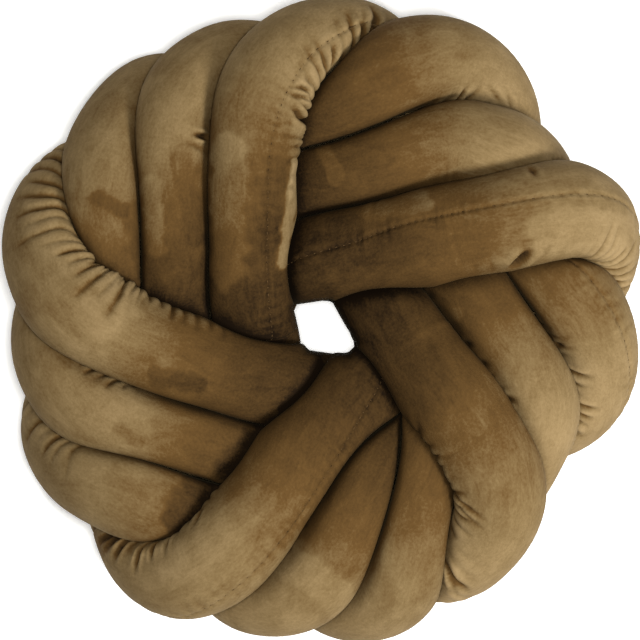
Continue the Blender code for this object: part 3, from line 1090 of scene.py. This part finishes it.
# %% The velvet's nodes
def velvet():
    """Short-pile polyester velvet, woven and cut: quite matt, with hardly any gloss of its own."""
    material, tree, shader = new_material(
        "short_pile_velvet", Roughness=0.9, Specular_IOR_Level=0.05, Sheen_Weight=0.02,
        Sheen_Roughness=0.25, Sheen_Tint=linear("A3946C"))
    cloth_uv = add_node(tree, "ShaderNodeUVMap", {"uv_map": "cloth"}).outputs["UV"]
    stretched = add_node(tree, "ShaderNodeMapping", Vector=cloth_uv, Scale=STROKE_STRETCH).outputs["Vector"]
    space = add_node(tree, "ShaderNodeTexCoord").outputs["Object"]
    centred = add_node(tree, "ShaderNodeMapping", Vector=space, Scale=(1.0, 1.0, 0.0),
                       Location=(-RING_MIDDLE[0], -RING_MIDDLE[1], 0.0)).outputs["Vector"]
    # Painted light: the cushion's colour is paler towards one side and darker towards the other, as if lit
    # from there
    painted_side_light = add_node(tree, "ShaderNodeVectorMath", {"operation": "DOT_PRODUCT"}, i0=centred,
                    i1=(*PAINTED_LIGHT_SIDE, 0.0)).outputs["Value"]
    # Painted shade from the mesh: near the strands' feet, with the hand's strokes, and in creases and where
    # strands touch
    painted_darkening, crease_shade = (add_node(tree, "ShaderNodeAttribute", {"attribute_name": name}).outputs["Fac"]
                  for name in ("foot_shade_and_strokes", "crease_and_touch_shade"))
    marks, strokes, grain = (
        add_node(tree, "ShaderNodeTexNoise", Vector=vector, Scale=1 / size, Detail=detail,
                 Roughness=rough, Distortion=bent).outputs["Fac"]
        for vector, size, detail, rough, bent in (
            (space, MARK_SIZE, 5.0, 0.6, 0.3),
            (stretched, STROKE_SIZE, 4.0, 0.65, 0.9),
            (cloth_uv, GRAIN_SIZE, 3.0, 0.7, 0.0),
        ))
    marks = add_node(tree, "ShaderNodeMapRange", {"interpolation_type": "SMOOTHSTEP"}, Value=marks,
                     From_Min=MARKS_BETWEEN[0], From_Max=MARKS_BETWEEN[1], To_Min=-1.0,
                     To_Max=1.0).outputs["Result"]
    marking = add_node(tree, "ShaderNodeMath", TIMES_PLUS, i0=painted_darkening, i1=MARKS_WITH_FOOT_SHADE,
                       i2=MARKS).outputs["Value"]
    pale = PLAIN
    for value, factor in ((painted_side_light, PAINTED_LIGHT_STRENGTH), (painted_darkening, SHADE_AND_STROKES_DARKER), (crease_shade, CREASE_SHADE_DARKER), (strokes, STROKES),
                          (grain, GRAIN), (marks, marking)):
        pale = add_node(tree, "ShaderNodeMath", TIMES_PLUS, i0=value, i1=factor, i2=pale).outputs["Value"]
    ramp = add_node(tree, "ShaderNodeValToRGB", stops=VELVET_BROWNS, i0=pale)
    tree.links.new(ramp.outputs["Color"], shader.inputs["Base Color"])
    height = add_node(tree, "ShaderNodeMath", TIMES_PLUS, i0=strokes, i1=STROKE_BUMPS, i2=grain)
    bump = add_node(tree, "ShaderNodeBump", Height=height.outputs["Value"], Strength=BUMP_STRENGTH,
                    Distance=BUMP_HEIGHT)
    tree.links.new(bump.outputs["Normal"], shader.inputs["Normal"])
    return material


velvet_material = velvet()
for tube in tubes:
    tube.data.materials.append(velvet_material)
print(velvet_material.name, "has", len(velvet_material.node_tree.nodes), "nodes")

# %% The thread's nodes
THREAD_BROWNS = ((0.0, "2A1D0E"), (1.0, "5A4426"))
FIBRE_SIZE = 0.5 * MM


def spun_polyester():
    """Spun polyester sewing thread: matt and a little uneven, with darker and paler fibres."""
    material, tree, shader = new_material("spun_polyester_thread", Roughness=0.8, Specular_IOR_Level=0.1)
    space = add_node(tree, "ShaderNodeTexCoord").outputs["Object"]
    fibre = add_node(tree, "ShaderNodeTexNoise", Vector=space, Scale=1 / FIBRE_SIZE).outputs["Fac"]
    ramp = add_node(tree, "ShaderNodeValToRGB", stops=THREAD_BROWNS, i0=fibre)
    tree.links.new(ramp.outputs["Color"], shader.inputs["Base Color"])
    return material


thread.data.materials.append(spun_polyester())
print("materials:", [material.name for material in bpy.data.materials])

# %% [markdown]
# ## What each piece stands for
#
# All pieces lie on the one body. The five lengths of tube together take the place of the imported solid,
# which is hidden.

# %% Bodies and what is replaced
for tube in tubes:
    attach(tube, "root")
    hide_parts("knot_tube")
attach(thread, "root")
print("pieces:", [piece.name for piece in (*tubes, thread)])

# %% [markdown]
# ## The studio
#
# The cushion lies on a light table, a white acrylic sheet that glows a little. The camera looks straight down
# from far away through a long lens, so the high strands hardly look bigger than the low ones. The main lamp
# stands to the lower right and gives each strand a paler and a darker side. A small lamp hangs right above
# the middle: only light that falls straight down reaches the table through the hole.

# %% Floor, lights and camera
PICTURE_PIXELS = 640
CUSHION_PIXELS = 637
MIDDLE_PIXEL = (315.6, 318.4)  # the ring's middle in the picture
CUSHION_WIDTH = 450 * MM
PIXEL = CUSHION_WIDTH / CUSHION_PIXELS
CAMERA_HEIGHT = 6.0
SENSOR = 36.0
FLOOR_SIZE = 6.0
FLOOR_WHITE = linear("F7F7F5")
FLOOR_GLOW = 0.35
LAMPS = (("key", (1.5, -1.05, 2.3), 0.8, 125), ("overhead", (0.0, 0.0, 2.9), 0.4, 85))
ROOM_COLOUR = (1.0, 0.99, 0.97, 1.0)
ROOM_LIGHT = 0.12

bm = bmesh.new()
bmesh.ops.create_grid(bm, x_segments=1, y_segments=1, size=FLOOR_SIZE)
floor_mesh = bpy.data.meshes.new("floor")
bm.to_mesh(floor_mesh)
bm.free()
floor_mesh.materials.append(new_material(
    "opal_acrylic", Base_Color=FLOOR_WHITE, Roughness=0.9, Emission_Color=FLOOR_WHITE,
    Emission_Strength=FLOOR_GLOW)[0])
floor = add_object(floor_mesh)

camera = add_object(bpy.data.cameras.new("camera"))
camera.data.sensor_width = SENSOR
camera.data.lens = SENSOR * (CAMERA_HEIGHT - REST_DEPTH) / (PICTURE_PIXELS * PIXEL)
camera.location = (
    RING_MIDDLE[0] + (PICTURE_PIXELS / 2 - MIDDLE_PIXEL[0]) * PIXEL,
    RING_MIDDLE[1] - (PICTURE_PIXELS / 2 - MIDDLE_PIXEL[1]) * PIXEL,
    CAMERA_HEIGHT,
)
bpy.context.scene.camera = camera

for name, (x, y, z), size, power in LAMPS:
    lamp = add_object(bpy.data.lights.new(name, "AREA"))
    lamp.data.size = size
    lamp.data.energy = power
    lamp.location = (x, y, z)
    lamp.rotation_euler = (math.atan2(math.hypot(x, y), z), 0.0, math.atan2(x, -y))
world = bpy.data.worlds.new("studio")
world.use_nodes = True
background = world.node_tree.nodes["Background"]
background.inputs["Color"].default_value = ROOM_COLOUR
background.inputs["Strength"].default_value = ROOM_LIGHT
bpy.context.scene.world = world
bpy.context.scene.view_settings.view_transform = "Standard"
print("lens in mm:", round(camera.data.lens))
